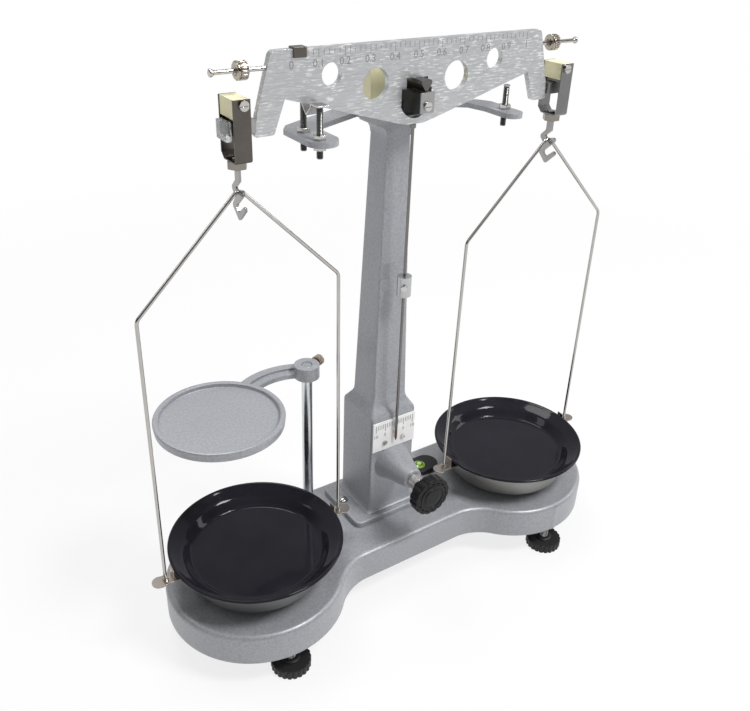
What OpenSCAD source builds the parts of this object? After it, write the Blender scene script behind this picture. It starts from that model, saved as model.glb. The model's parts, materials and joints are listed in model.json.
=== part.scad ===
// Equal-arm laboratory balance with two pans, knife edges, a beam arrest
// and a side tray. Millimetres. X runs along the beam, Y to the back, Z up.
// The origin is on the bench, below the middle of the line through the pans.

/* [Beam] */
// Distance from the centre knife to each end knife
arm_l = 115; // [108:0.5:122]
// Height of the three knife edges above the bench
knife_z = 362.5; // [350:0.5:372]
// Thickness of the beam plate
beam_t = 4; // [3.6:0.1:5]
// Half length of the beam's top edge
beam_half = 94.5; // [90:0.5:98]
// Radius of the two inner lightening holes
big_hole_r = 8.8; // [6:0.1:9.5]
// Radius of the two outer lightening holes
small_hole_r = 6.3; // [4:0.1:7]
// Radius of the adjusting rods
rod_r = 1.2; // [0.9:0.05:1.3]
// Radius of the knurled balance nuts
balance_nut_r = 4.9; // [4:0.1:6]

/* [Base] */
// Radius of each round end of the base
lobe_r = 63; // [58:0.5:66]
// Distance from the middle to the centre of each round end
lobe_x = 116; // [112:0.5:120]
// Front edge of the narrow middle, measured forward
waist_front = 30; // [24:0.5:36]
// Back edge of the narrow middle, measured backward
waist_back = 56; // [54:0.5:58]
// Height of the base's lower edge above the bench
base_low = 20.5; // [18:0.5:24]
// Height of the base's top face
base_top = 44; // [42:0.5:45]
// Radius of the rounded top edge
edge_r = 4; // [2:0.25:6]
// Wall thickness of the casting
base_wall = 5; // [3:0.5:7]
// Radius of the levelling foot discs
foot_r = 13.8; // [11:0.1:15]

/* [Column] */
// Distance of the column's axis behind the beam
col_y = 23; // [22:0.25:24]
// Half width of the lower box
box_half = 19; // [17:0.5:20]
// Half depth of the lower box
box_depth = 19.8; // [18:0.2:20]
// Half width at the top of the column
top_half = 8.8; // [8:0.1:10]
// Half depth at the top of the column
top_depth = 9.5; // [9:0.1:10]
// Height of the arrest shaft
shaft_z = 91; // [88:0.5:94]
// Radius of the arrest knob
knob_r = 14.8; // [12:0.1:16]
// Full rise of the beam when the knob turns a quarter
lift_h = 2; // [1:0.1:2.2]

/* [Pans] */
// Outer radius of each pan
pan_r = 60; // [58:0.25:60.2]
// Height of the pan's rim
pan_z = 72.9; // [72.6:0.05:73.4]
// Radius of the hanger wire
wire_r = 1.15; // [0.9:0.05:1.2]
// Height of the wire's top bend
apex_z = 319; // [318.8:0.05:319.1]
// Height of the hanger's shoulders
shoulder_z = 256.5; // [240:0.5:270]

/* [Tray] */
// Radius of the side tray
tray_r = 42.6; // [36:0.1:43]
// Height of the tray's rim
tray_z = 165; // [160:0.5:166]
// Radius of the tray post
post_r = 4; // [3:0.1:4.4]

/* [Clearances] */
// Radial running clearance of shafts and screws that turn or slide
run_gap = 0.05; // [0.02:0.01:0.08]
// Clearance between the beam and its rests
rest_gap = 1.35; // [1.3:0.05:1.6]
// Clearance at the knife edges
edge_gap = 0.03; // [0.02:0.01:0.05]

/* [Hidden] */
$fn = 64;
e = 0.01;
base_h = base_top - base_low;
flange_top = base_top + 4.5;
plate_low = 340.6;
plate_top = 343.8;
col_top = 331.5;
beam_top = knife_z + 28;
leg_z = knife_z - 15.2;
lift_r = 3;
stud_r = 1.95;
cam_e = lift_h / sqrt(2);
cam_r = 8;
rod_z = knife_z + 19.3;
head_x = -10.2;
head_z = knife_z - 10.2;
foot_at = [[-lobe_x - 2, -52.5], [lobe_x - 1, -55.5], [0, 42]];
screw_x = 27.8;
level_x = 50;
level_y = 32.2;
screw_y = col_y + 3.5;
stud_top = 361.8;
stud_low = 333.2;
post_at = [-49.2, 43.9];
tray_at = [-126.4, 21.8];
left_rest = -69.5;
right_rest = 72;
hub_low = tray_z - 6.2;
hub_top = tray_z + 3.5;
strip_z = pan_z - 6.7;
dish_low = pan_z - 24.4;

// Cylinder along +X from x0 to x1
module xrod(x0, x1, r, y = 0, z = 0)
  translate([x0, y, z]) rotate([0, 90, 0]) cylinder(h = x1 - x0, r = r);

// Cylinder along +Y from y0 to y1
module yrod(y0, y1, r, x = 0, z = 0)
  translate([x, y0, z]) rotate([-90, 0, 0]) cylinder(h = y1 - y0, r = r);

// Cylinder along +Z from z0 to z1
module zrod(z0, z1, r, x = 0, y = 0)
  translate([x, y, z0]) cylinder(h = z1 - z0, r = r);

// Box given by its two corners
module block(a, b) translate(a) cube(b - a);

// Extrude an outline drawn as [x, z] through y0 to y1
module through_y(y0, y1)
  translate([0, y1, 0]) rotate([90, 0, 0]) linear_extrude(y1 - y0) children();

// Extrude an outline drawn as [y, z] through x0 to x1
module through_x(x0, x1)
  translate([x0, 0, 0]) rotate([90, 0, 90]) linear_extrude(x1 - x0) children();

// Hexagon nut blank with a round bore
module hex_nut(z0, z1, af, bore, x = 0, y = 0)
  translate([x, y, z0]) difference() {
    cylinder(h = z1 - z0, r = af / sqrt(3), $fn = 6);
    translate([0, 0, -1]) cylinder(h = z1 - z0 + 2, r = bore);
  }

// Profile with a rounded upper outer corner, r wide and h high
module rounded_profile(r, h) {
  square([r - edge_r, h]);
  square([r, h - edge_r]);
  translate([r - edge_r, h - edge_r]) circle(edge_r);
}

// Rounded inner corner between the waist line and one round end
module base_fillet(side, waist, rf) {
  cy = waist + rf - 0.15;
  fx = lobe_x - sqrt(pow(lobe_r + rf - 0.15, 2) - pow(cy, 2));
  difference() {
    linear_extrude(base_h)
      polygon([[fx, 0], [fx, side * cy], [lobe_x - 8, side * 8], [lobe_x, 0]]);
    translate([fx, side * cy, 0]) rotate_extrude() difference() {
      translate([0, -1]) square([rf + edge_r, base_h + 2]);
      translate([rf, -2]) square([edge_r + 1, base_h - edge_r + 2]);
      translate([rf + edge_r, base_h - edge_r]) circle(edge_r);
    }
  }
}

// Solid dumb-bell outline with a rounded top edge
module base_body() {
  for (s = [-1, 1]) translate([s * lobe_x, 0, 0])
    rotate_extrude() rounded_profile(lobe_r, base_h);
  through_x(-lobe_x, lobe_x) {
    translate([waist_back, 0]) mirror([1, 0])
      translate([edge_r, 0]) square([waist_back + waist_front - 2 * edge_r, base_h]);
    translate([-waist_front, 0])
      square([waist_back + waist_front, base_h - edge_r]);
    translate([edge_r - waist_front, base_h - edge_r]) circle(edge_r);
    translate([waist_back - edge_r, base_h - edge_r]) circle(edge_r);
  }
  for (m = [0, 1]) mirror([m, 0, 0]) {
    base_fillet(-1, waist_front, 40);
    base_fillet(1, waist_back, 30);
  }
}

module base_casting() color("silver") difference() {
  union() {
    translate([0, 0, base_low]) difference() {
      base_body();
      translate([0, 0, -1]) linear_extrude(base_h - base_wall + 1) {
        for (s = [-1, 1]) translate([s * lobe_x, 0]) circle(lobe_r - base_wall);
        translate([-lobe_x, base_wall - waist_front])
          square([2 * lobe_x, waist_front + waist_back - 2 * base_wall]);
      }
    }
    for (p = foot_at) zrod(base_low, base_top - 2, 8, p[0], p[1]);
    zrod(base_low + 2, base_top - 2, 8, post_at[0], post_at[1]);
    for (s = [-1, 1]) zrod(base_top - 14, base_top - 2, 5, s * screw_x, screw_y);
  }
  for (p = foot_at) zrod(base_low - 1, base_top - 4, 3 + run_gap, p[0], p[1]);
  zrod(base_low + 4, base_top + 1, post_r + run_gap, post_at[0], post_at[1]);
  for (s = [-1, 1]) zrod(base_top - 15, base_top + 1, 2, s * screw_x, screw_y);
}

// Levelling foot: grooved disc on a screw
module foot(p) translate([p[0], p[1], 0]) {
  difference() {
    union() {
      cylinder(h = 1, r1 = foot_r - 1, r2 = foot_r);
      translate([0, 0, 1]) cylinder(h = 4.5, r = foot_r);
      translate([0, 0, 5.5]) cylinder(h = 1, r1 = foot_r, r2 = foot_r - 1);
    }
    for (a = [0:15:345]) rotate(a) zrod(-1, 8, 0.9, foot_r + 0.25);
  }
  translate([0, 0, 6.5]) cylinder(h = 2.5, r = 4.5);
  translate([0, 0, 8]) cylinder(h = 32, r = 3);
}

module foot_left() color("dimgray") foot(foot_at[0]);
module foot_right() color("dimgray") foot(foot_at[1]);
module foot_rear() color("dimgray") foot(foot_at[2]);

// Outline given by its right half, from below upward
module half_pair(p)
  polygon(concat(p, [for (i = [len(p) - 1:-1:0]) [-p[i][0], p[i][1]]]));

// Front and side outlines of the column, one crossed with the other
module column_shell() intersection() {
  through_y(-10, 60) half_pair([
    [box_half + 2.6, flange_top - 1], [box_half + 2.6, flange_top + 0.8],
    [box_half + 1, flange_top + 2.2], [box_half + 0.3, flange_top + 4],
    [box_half, flange_top + 6.5], [box_half, 133], [14.4, 141.3],
    [top_half, col_top]]);
  through_x(-40, 40) translate([col_y, 0]) half_pair([
    [box_depth + 2.6, flange_top - 1], [box_depth + 2.6, flange_top + 0.8],
    [box_depth + 1, flange_top + 2.2], [box_depth + 0.3, flange_top + 4],
    [box_depth, flange_top + 6.5], [box_depth, 133], [13.8, 141.3],
    [top_depth, col_top]]);
}

// Foot flange with rounded corners and a chamfered upper edge
module column_flange() translate([0, col_y - 1, base_top]) intersection() {
  linear_extrude(4.5) {
    square([62, 52], center = true);
    square([68, 46], center = true);
    for (a = [-1, 1], b = [-1, 1]) translate([a * 31, b * 23]) circle(3);
  }
  through_y(-30, 30) half_pair([[34.1, -1], [34.1, 3.3], [32.8, 4.6]]);
  through_x(-40, 40) half_pair([[26.1, -1], [26.1, 3.3], [24.8, 4.6]]);
}

module column() color("silver") difference() {
  union() {
    column_shell();
    column_flange();
    yrod(-24, col_y, 7.6, 0, shaft_z);
    difference() {
      translate([0, -20, shaft_z]) rotate([-90, 0, 0])
        cylinder(h = 24, r1 = 8.6, r2 = 15.6);
      block([-20, -4, 104.4], [20, 5, 112]);
    }
  }
  block([-14, 8, base_top - 1], [14, col_y + 15, 118]);
  zrod(110, col_top + 1, 5, 0, col_y);
  yrod(-26, 10, 5, 0, shaft_z);
  yrod(-26, -21, 6.6, 0, shaft_z);
  for (s = [-1, 1]) zrod(base_top - 1, flange_top + 1, 2.1, s * screw_x, screw_y);
  for (s = [-1, 1]) yrod(0, 9, 1.2, s * 8, 110.8);
}

// Outline of the crosshead: a bow behind the beam with two forward fingers
module crosshead_outline() {
  polygon([
    [-17, 12], [17, 12], [17, 35], [52, 29], [61, 23], [64.4, 10],
    [64.4, -8], [78, -8], [78, 20], [73, 28], [60, 37], [27, 47], [0, 50],
    [-27, 47], [-54, 35], [-72, 26], [-77, 19], [-77, -7.5],
    [-58, -7.5], [-58, 8], [-50, 20], [-17, 35]]);
  translate([-67.5, -7.5]) circle(9.5);
  translate([71.2, -8]) circle(6.8);
}

module crosshead() color("silver") difference() {
  union() {
    translate([0, 0, plate_low]) linear_extrude(plate_top - plate_low)
      crosshead_outline();
    through_y(col_y - top_depth, col_y + top_depth) difference() {
      translate([-17, col_top]) square([34, plate_low - col_top + 1]);
      for (s = [-1, 1]) translate([s * (top_half + 8.3), col_top]) circle(8.3);
    }
    zrod(col_top - 8, col_top + 1, 4.9, 0, col_y);
  }
  zrod(col_top - 9, plate_top + 1, lift_r + run_gap, 0, col_y);
  for (y = [-9, 9]) zrod(plate_low - 1, plate_top + 1, stud_r, left_rest, y);
  zrod(plate_low - 1, plate_top + 1, stud_r, right_rest);
}

// Slotted dome screw that points down
module dome_screw(x, y, z, r, head_r, len) translate([x, y, z]) {
  difference() {
    intersection() {
      cylinder(h = head_r, r = head_r);
      translate([0, 0, -head_r * 0.6]) sphere(head_r * 1.17);
    }
    block([-head_r, -0.4, head_r * 0.3], [head_r, 0.4, head_r]);
  }
  translate([0, 0, -len]) cylinder(h = len + e, r = r);
}

module flange_screws() color("gainsboro")
  for (s = [-1, 1]) dome_screw(s * screw_x, screw_y, flange_top, 2, 4, 14);

module scale_plate() color("white") difference() {
  block([-18.3, col_y - box_depth - 1, 104.5], [18.3, col_y - box_depth, 129.5]);
  for (s = [-1, 1]) yrod(0, 9, 1.2, s * 8, 110.8);
}

module scale_screws() color("gainsboro") for (s = [-1, 1])
  translate([s * 8, col_y - box_depth - 1, 110.8]) rotate([90, 0, 0]) {
    difference() {
      cylinder(h = 0.9, r = 1.9);
      block([-2, -0.25, 0.5], [2, 0.25, 2]);
    }
    translate([0, 0, -5]) cylinder(h = 5 + e, r = 1.2);
  }

module shaft_bushing() color("gainsboro") difference() {
  union() {
    yrod(-32, -23, 5.4, 0, shaft_z);
    yrod(-23, 8, 5, 0, shaft_z);
  }
  yrod(-34, 12, 3 + run_gap, 0, shaft_z);
}

module arrest_shaft() color("gray") {
  yrod(-45, col_y + 6, 3, 0, shaft_z);
  yrod(col_y - 4, col_y + 4, cam_r, -cam_e * sqrt(0.5), shaft_z - cam_e * sqrt(0.5));
}

module arrest_knob() color("black") translate([0, 0, shaft_z]) difference() {
  union() {
    yrod(-46.5, -40.5, knob_r);
    yrod(-47.5, -46.5, knob_r - 1.2);
    yrod(-40.5, -39.5, knob_r - 1.2);
    yrod(-39.5, -36, 6.2);
  }
  for (a = [0:22.5:337.5]) rotate([0, a, 0]) yrod(-50, -38, 1.6, knob_r + 0.5);
  difference() {
    yrod(-49, -46.4, 8.8);
    yrod(-50, -46, 7);
  }
  yrod(-45, -30, 3);
}

module lift_rod() color("gainsboro") {
  zrod(shaft_z + cam_r - cam_e * sqrt(0.5) + 0.1, 368, lift_r, 0, col_y);
  zrod(shaft_z + cam_r - cam_e * sqrt(0.5) + 0.1, 103, 4.6, 0, col_y);
}

module lift_head() color("cornsilk") difference() {
  union() {
    block([-21.5, 16, knife_z - 13.5], [21.5, 31, knife_z - 7.5]);
    block([-20.5, 16, knife_z - 8], [20.5, 31, knife_z + 14]);
  }
  zrod(330, 368, lift_r, 0, col_y);
  block([-5.2, 15, knife_z - 11.5], [5.2, 19.5, knife_z - 0.4]);
  yrod(15, 22, 1.2, head_x, head_z);
}

module bearing_bar() color("black") difference() {
  union() {
    block([-5.2, -12, knife_z - 11.5], [5.2, 19.5, knife_z - 0.4]);
    block([-6.2, 5, knife_z - 16.5], [9, 16, knife_z - 6.5]);
  }
  block([-4, -11.5, knife_z - 1.6], [4, 11.5, knife_z]);
  yrod(-13, -6, 1.2, 0, knife_z - 7.2);
}

module bearing_agate() color("dimgray")
  block([-4, -11.5, knife_z - 1.6], [4, 11.5, knife_z - edge_gap]);

module bearing_clip() color("gainsboro") difference() {
  block([-4.9, -13, knife_z - 11.2], [4.9, -12, knife_z + 0.7]);
  yrod(-14, -11, 1.2, 0, knife_z - 7.2);
}

// Slotted cheese head that faces the front
module front_screw(x, y, z, head_r) translate([x, y, z]) rotate([90, 0, 0]) {
  difference() {
    cylinder(h = 1.3, r = head_r);
    block([-head_r - 1, -0.35, 0.7], [head_r + 1, 0.35, 2]);
  }
  translate([0, 0, -6]) cylinder(h = 6 + e, r = 1.2);
}

// One screw in the bright plate, one in the cream head
module clip_screw() color("gainsboro") {
  front_screw(0, -13, knife_z - 7.2, 2.6);
  front_screw(head_x, 16, head_z, 3.1);
}

module rest_studs() color("dimgray") {
  for (y = [-9, 9]) zrod(stud_low, stud_top, stud_r, left_rest, y);
  zrod(stud_low, stud_top - 3.8, stud_r, right_rest);
}

module rest_nuts() color("gainsboro") {
  for (p = [[left_rest, -9], [left_rest, 9], [right_rest, 0]])
    hex_nut(plate_top, plate_top + 2.8, 7, stud_r, p[0], p[1]);
  hex_nut(plate_low - 2.4, plate_low, 7, stud_r, left_rest, -9);
}

// Lowest height of the beam's lower edge between two x positions
function beam_low(x) = knife_z + 3 - (86.7 - abs(x)) * 8.1 / 28.7;

// Folded sheet that bridges the two left studs, with a V for the beam
module rest_cradle() color("gainsboro") {
  v = beam_low(left_rest + 3.5) - rest_gap - 2;
  through_x(left_rest - 3.5, left_rest + 3.5) polygon([
    [-13, stud_top + 0.8], [-4.7, stud_top + 0.8], [-4.1, v + 4.1], [0, v],
    [4.1, v + 4.1], [4.7, stud_top + 0.8], [13, stud_top + 0.8], [13, stud_top],
    [5.5, stud_top], [4.9, v + 3.8], [0, v - 1.13], [-4.9, v + 3.8],
    [-5.5, stud_top], [-13, stud_top]]);
}

module rest_button() color("gainsboro") {
  zrod(stud_top - 3.8, stud_top - 3.3, 2.2, right_rest);
  intersection() {
    translate([right_rest, 0, beam_low(69) - rest_gap - 4]) sphere(4);
    zrod(stud_top - 3.3, 362, 2.2, right_rest);
  }
}

// Right side of the beam's outline, from the top corner down to the boss
beam_side = [
  [beam_half - 2.4, beam_top], [beam_half - 0.8, beam_top - 0.6],
  [beam_half + 0.4, beam_top - 2.2], [beam_half + 2.8, beam_top - 10.5],
  [arm_l - 11.6, knife_z - 4], [arm_l - 10, knife_z - 13.8],
  [arm_l - 10.8, leg_z], [arm_l - 20.8, leg_z], [arm_l - 21.8, leg_z + 0.8],
  [86.7, knife_z + 3],
  [58, knife_z - 5.1], [41.3, knife_z - 10.1], [12.4, knife_z - 18.1],
  [6, knife_z - 19.6]];

module beam() color("lightgray") difference() {
  through_y(-beam_t / 2, beam_t / 2) difference() {
    half_pair(beam_side);
    for (s = [-1, 1]) {
      translate([s * 57.8, knife_z + 13.3]) circle(small_hole_r);
      translate([s * 28.8, knife_z + 5.6]) circle(big_hole_r);
    }
    translate([-7.5, knife_z]) square([15, 7]);
    intersection() {
      translate([0, knife_z - 4.6]) circle(11.6);
      translate([-10.7, knife_z - 20]) square([21.4, 21]);
    }
    translate([-10.7, knife_z - 6]) square([21.4, 7]);
  }
  for (s = [-1, 1]) {
    if (s > 0) xrod(beam_half - 8, 130, rod_r, 0, rod_z);
    if (s < 0) xrod(-130, 8 - beam_half, rod_r, 0, rod_z);
    if (s > 0) xrod(arm_l - 17, arm_l, 1.4, 0, knife_z - 8.5);
    if (s < 0) xrod(-arm_l, 17 - arm_l, 1.4, 0, knife_z - 8.5);
  }
  zrod(knife_z - 22, knife_z - 17.4, 1);
}

// Knife with its edge down, fixed to the top of the opening
module centre_knife() color("dimgray") through_y(-11.3, 11.3) polygon([
  [-3.6, knife_z + 7], [3.6, knife_z + 7], [3.6, knife_z + 5],
  [0.05, knife_z], [-0.05, knife_z], [-3.6, knife_z + 5]]);

// Two outboard holders with their edges up
module end_knives() color("dimgray") for (m = [0, 1]) mirror([m, 0, 0]) {
  block([arm_l - 10, -4, knife_z - 12], [arm_l + 5.5, 4, knife_z - 5]);
  through_y(-6.8, 6.8) polygon([
    [arm_l - 2, knife_z - 5.5], [arm_l + 2, knife_z - 5.5],
    [arm_l + 2, knife_z - 4.8], [arm_l + edge_gap / 2, knife_z],
    [arm_l - edge_gap / 2, knife_z], [arm_l - 2, knife_z - 4.8]]);
  xrod(arm_l - 17, arm_l - 9, 1.4, 0, knife_z - 8.5);
}

// Clear cup on the end of the left holder
module knife_guard() color("lightcyan", 0.5) difference() {
  block([-arm_l - 8.2, -6, knife_z - 14.5], [-arm_l - 5, 6, knife_z - 4.6]);
  block([-arm_l - 5.5, -4, knife_z - 12], [-arm_l - 4, 4, knife_z - 5]);
}

module adjusting_rods() color("gainsboro") for (m = [0, 1]) mirror([m, 0, 0]) {
  xrod(beam_half - 8, 126.4, rod_r, 0, rod_z);
  xrod(125.8, 127, 2.2, 0, rod_z);
  xrod(127, 128, 1.6, 0, rod_z);
}

// Knurled nut with a plain flange at its -X end
module balance_nut(x0) translate([x0, 0, rod_z]) rotate([0, 90, 0]) difference() {
  union() {
    cylinder(h = 0.5, r1 = balance_nut_r - 0.6, r2 = balance_nut_r);
    zrod(0.5, 1.1, balance_nut_r);
    zrod(1, 1.8, balance_nut_r - 0.7);
    zrod(1.6, 5.6, balance_nut_r);
    translate([0, 0, 5.6])
      cylinder(h = 0.6, r1 = balance_nut_r, r2 = balance_nut_r - 0.8);
  }
  zrod(-1, 8, rod_r + run_gap);
  translate([0, 0, -e]) cylinder(h = 1, r1 = 2.6, r2 = rod_r + run_gap);
  for (a = [0:20:340]) rotate(a) zrod(1.2, 8, 0.6, balance_nut_r + 0.2);
}

module balance_nut_left() color("gainsboro") balance_nut(-113.7);
module balance_nut_right() color("gainsboro") balance_nut(103.9);

// Spring clip that straddles the beam's top edge at the zero mark
module rider() color("gainsboro") difference() {
  block([-81.5, -beam_t / 2 - 0.9, beam_top - 4.6],
    [-73.5, beam_t / 2 + 0.9, beam_top + 0.9]);
  block([-83, -beam_t / 2 - 0.06, beam_top - 6],
    [-72, beam_t / 2 + 0.06, beam_top + 0.06]);
}

module pointer() color("gainsboro") {
  zrod(120, knife_z - 17.4, 1);
  zrod(knife_z - 22.4, knife_z - 20, 1.9);
}

module pointer_tip() color("red") {
  zrod(114.5, 120, 1);
  translate([0, 0, 111.8]) cylinder(h = 2.7 + e, r1 = 0.4, r2 = 1);
}

module gravity_weight() color("silver") difference() {
  zrod(229.5, 243.5, 4.8);
  zrod(229, 244, 1 + run_gap);
  rotate([0, 0, -35]) yrod(-8, -1.6, 1.1, 0, 236.5);
}

module weight_screw() color("gainsboro") rotate([0, 0, -35]) {
  yrod(-5.2, -1.6, 1.1, 0, 236.5);
  yrod(-6.5, -4.85, 2.2, 0, 236.5);
}

// Sheet strap with a folded bottom that hangs from the knife block
module stirrup(s) {
  translate([s * arm_l, 0, knife_z]) difference() {
    through_x(-5, 5) difference() {
      polygon([[-8.75, 6.9], [-8.75, -24.9], [-7.6, -26.1], [5.4, -26.1],
        [8.75, -22.7], [8.75, 6.9]]);
      polygon([[-8, 8], [-8, -24.6], [-7.3, -25.35], [5.1, -25.35],
        [8, -22.4], [8, 8]]);
    }
    yrod(-10, 10, 1.4, -s, 3.9);
    zrod(-28, -20, 1.55);
  }
}

module stirrup_left() color("dimgray") stirrup(-1);
module stirrup_right() color("dimgray") stirrup(1);

// Nylon bearing with a V groove over the end knife
module stirrup_block(s) translate([s * arm_l, 0, knife_z]) difference() {
  block([-4.6, -8, -3.1], [4.6, 8, 6.9]);
  through_y(-9, 9) polygon([[-3.6, -3.6], [0, edge_gap], [3.6, -3.6]]);
  yrod(-10, 10, 1.4, -s, 3.9);
}

module stirrup_block_left() color("cornsilk") stirrup_block(-1);
module stirrup_block_right() color("cornsilk") stirrup_block(1);

module stirrup_screw(s) translate([s * (arm_l - 1), 0, knife_z + 3.9]) {
  yrod(-9.3, 10.6, 1.4);
  difference() {
    yrod(-10.3, -8.75, 2.7);
    block([-3, -11, -0.35], [3, -9.7, 0.35]);
  }
  translate([0, 8.75, 0]) rotate([-90, 0, 0])
    cylinder(h = 1.5, r = 2.9, $fn = 6);
}

module stirrup_screw_left() color("gainsboro") stirrup_screw(-1);
module stirrup_screw_right() color("gainsboro") stirrup_screw(1);

module swivel_nut_left() color("gray")
  hex_nut(knife_z - 30.5, knife_z - 26.1, 10, 1.55, -arm_l);
module swivel_nut_right() color("gray")
  hex_nut(knife_z - 30.5, knife_z - 26.1, 10, 1.55, arm_l);

// Flat double hook: the wire rests in the upper notch
module hook(s) translate([s * arm_l, 0, 0]) {
  through_x(-0.7, 0.7) difference() {
    polygon([
      [2.6, knife_z - 30.5], [2.6, 325], [6.7, 321], [6.9, 320.2],
      [6.7, 318.9], [3.1, 315.4], [6.8, 310.8], [6.9, 309.8], [6.6, 308.8],
      [0.4, 303.1], [-0.9, 303.1], [-8.3, 310], [-8.6, 311], [-8, 312.1],
      [-6.7, 312.3], [-1.2, 307.9], [0.8, 308.1], [2.1, 309.6], [1.7, 311.2],
      [-5.6, 317.6], [-6.8, 319.2], [-6.7, 320.6], [-5.4, 321.2],
      [-1.5, 320.2], [1.3, 320.2], [2.3, 321], [-2.6, 325.2],
      [-2.6, knife_z - 30.5]]);
    translate([0, apex_z]) circle(wire_r + 0.12);
    translate([-wire_r - 0.12, apex_z]) square([2 * wire_r + 0.24, 1.2]);
  }
  zrod(knife_z - 31, knife_z - 25, 1.5);
  zrod(knife_z - 25.35, knife_z - 24.2, 2.6);
}

module hook_left() color("gray") hook(-1);
module hook_right() color("gray") hook(1);

function unit2(v) = v / norm(v);
function bend_run(p, b, i) = i <= 0 || i >= len(p) - 1 ? 0 :
  let (u = unit2(p[i] - p[i - 1]), w = unit2(p[i + 1] - p[i]))
  b[i] * tan(acos(u * w) / 2);

// Bent wire of radius r through points p with bend radii b, in the XZ plane
module bent_wire(p, b, r) rotate([90, 0, 0]) {
  for (i = [0:len(p) - 2]) {
    u = unit2(p[i + 1] - p[i]);
    q = p[i] + u * bend_run(p, b, i);
    l = norm(p[i + 1] - p[i]) - bend_run(p, b, i) - bend_run(p, b, i + 1);
    translate([q[0], q[1], 0]) rotate([0, 90, atan2(u[1], u[0])])
      cylinder(h = l, r = r);
  }
  for (i = [1:len(p) - 2]) {
    u = unit2(p[i] - p[i - 1]);
    w = unit2(p[i + 1] - p[i]);
    s = cross(u, w) > 0 ? 1 : -1;
    n = [-u[1], u[0]] * s;
    c = p[i] - u * bend_run(p, b, i) + n * b[i];
    a0 = atan2(-n[1], -n[0]);
    turn = acos(u * w);
    translate([c[0], c[1], 0]) rotate(s > 0 ? a0 - 2 : a0 - turn - 2)
      rotate_extrude(angle = turn + 4) translate([b[i], 0]) circle(r - 0.03);
  }
}

module hanger(s) translate([s * arm_l, 0, 0]) {
  top = apex_z + 4 / cos(atan2(apex_z - shoulder_z, 64)) - 4;
  bent_wire([[-66, strip_z - 2.6], [-64, shoulder_z], [0, top],
    [64, shoulder_z], [66, strip_z - 2.6]], [0, 6, 4, 6, 0], wire_r);
  for (m = [-1, 1]) zrod(strip_z + 1, strip_z + 3, 2, m * 66);
}

module hanger_left() color("gainsboro") hanger(-1);
module hanger_right() color("gainsboro") hanger(1);

// Cranked strip that carries the dish and the pan, with tabs and lugs
module pan_strip(s) translate([s * arm_l, 0, 0]) difference() {
  union() {
    for (m = [0, 1]) mirror([m, 0, 0]) {
      through_y(-4.5, 4.5) polygon([
        [-e, dish_low + 1], [pan_r - 15.1, dish_low + 1],
        [pan_r - 8.5, strip_z], [70, strip_z], [70, strip_z + 1],
        [pan_r - 9.05, strip_z + 1], [pan_r - 15.9, dish_low + 2],
        [-e, dish_low + 2]]);
      zrod(strip_z, strip_z + 1, 5, 70);
      block([pan_r + 0.8, -3, strip_z], [pan_r + 1.6, 3, strip_z + 8]);
    }
  }
  for (m = [-1, 1]) zrod(strip_z - 1, strip_z + 2, wire_r + 0.05, m * 66);
}

module pan_strip_left() color("lightgray") pan_strip(-1);
module pan_strip_right() color("lightgray") pan_strip(1);

module under_dish(s) translate([s * arm_l, 0, 0]) rotate_extrude() polygon([
  [0, dish_low], [pan_r - 14, dish_low], [pan_r - 7.2, strip_z - 0.02],
  [pan_r - 8.1, strip_z - 0.02], [pan_r - 14.6, dish_low + 0.98],
  [0, dish_low + 0.98]]);

module under_dish_left() color("silver") under_dish(-1);
module under_dish_right() color("silver") under_dish(1);

// Pressed pan with a sloping rim and a rolled edge
module pan(s) translate([s * arm_l, 0, pan_z]) rotate_extrude($fn = 96) {
  polygon([
    [0, -12.7], [pan_r - 15, -12.7], [pan_r - 9.2, -5.66],
    [pan_r - 7, -5.3], [pan_r - 1, -1.8], [pan_r - 1.4, -0.6],
    [pan_r - 7.4, -4.2], [pan_r - 9.8, -4.7], [pan_r - 15.4, -11.7],
    [0, -11.7]]);
  translate([pan_r - 1.2, -1.2]) circle(1.2);
}

module pan_left() color("black") pan(-1);
module pan_right() color("black") pan(1);

module tray_post() color("gainsboro") {
  zrod(base_low + 4.5, hub_top - 1, post_r, post_at[0], post_at[1]);
  translate([post_at[0], post_at[1], hub_top - 1])
    cylinder(h = 0.6, r1 = post_r, r2 = post_r - 0.6);
}

// Dished tray, curved arm and clamping hub in one casting
module tray() color("silver") difference() {
  union() {
    translate([tray_at[0], tray_at[1], 0]) rotate_extrude($fn = 96) polygon([
      [0, tray_z - 5], [tray_r - 5, tray_z - 5], [tray_r - 4.4, tray_z - 6.8],
      [tray_r - 1.6, tray_z - 6.8], [tray_r - 0.6, tray_z - 6.2],
      [tray_r, tray_z - 1.2], [tray_r - 0.4, tray_z - 0.4],
      [tray_r - 1.2, tray_z], [tray_r - 2.8, tray_z],
      [tray_r - 3.6, tray_z - 0.5], [tray_r - 4.2, tray_z - 2.6],
      [tray_r - 4.6, tray_z - 2.9], [0, tray_z - 2.9]]);
    difference() {
      translate([-71.4, 10.8, 0]) rotate(56) rotate_extrude(angle = 70) {
        translate([36.5, tray_z - 6]) square([13.3, 3.4]);
        translate([42.8, tray_z - 3]) square([6, 1.9]);
      }
      zrod(tray_z - 10, tray_z + 2, tray_r - 2, tray_at[0], tray_at[1]);
    }
    zrod(hub_low, hub_top, 9.1, post_at[0], post_at[1]);
  }
  zrod(hub_low - 1, hub_top + 1, post_r + run_gap, post_at[0], post_at[1]);
  translate([post_at[0], post_at[1], tray_z + 0.3]) rotate(24)
    xrod(post_r - 1, 12, 1.5 + run_gap);
}

module tray_screw() color("gold")
  translate([post_at[0], post_at[1], tray_z + 0.3]) rotate(24) {
    xrod(post_r + 0.1, 12, 1.5);
    difference() {
      xrod(11, 16, 4);
      for (a = [0:22.5:337.5]) rotate([a, 0, 0]) xrod(10, 17, 0.45, 0, 4.15);
    }
  }

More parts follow.
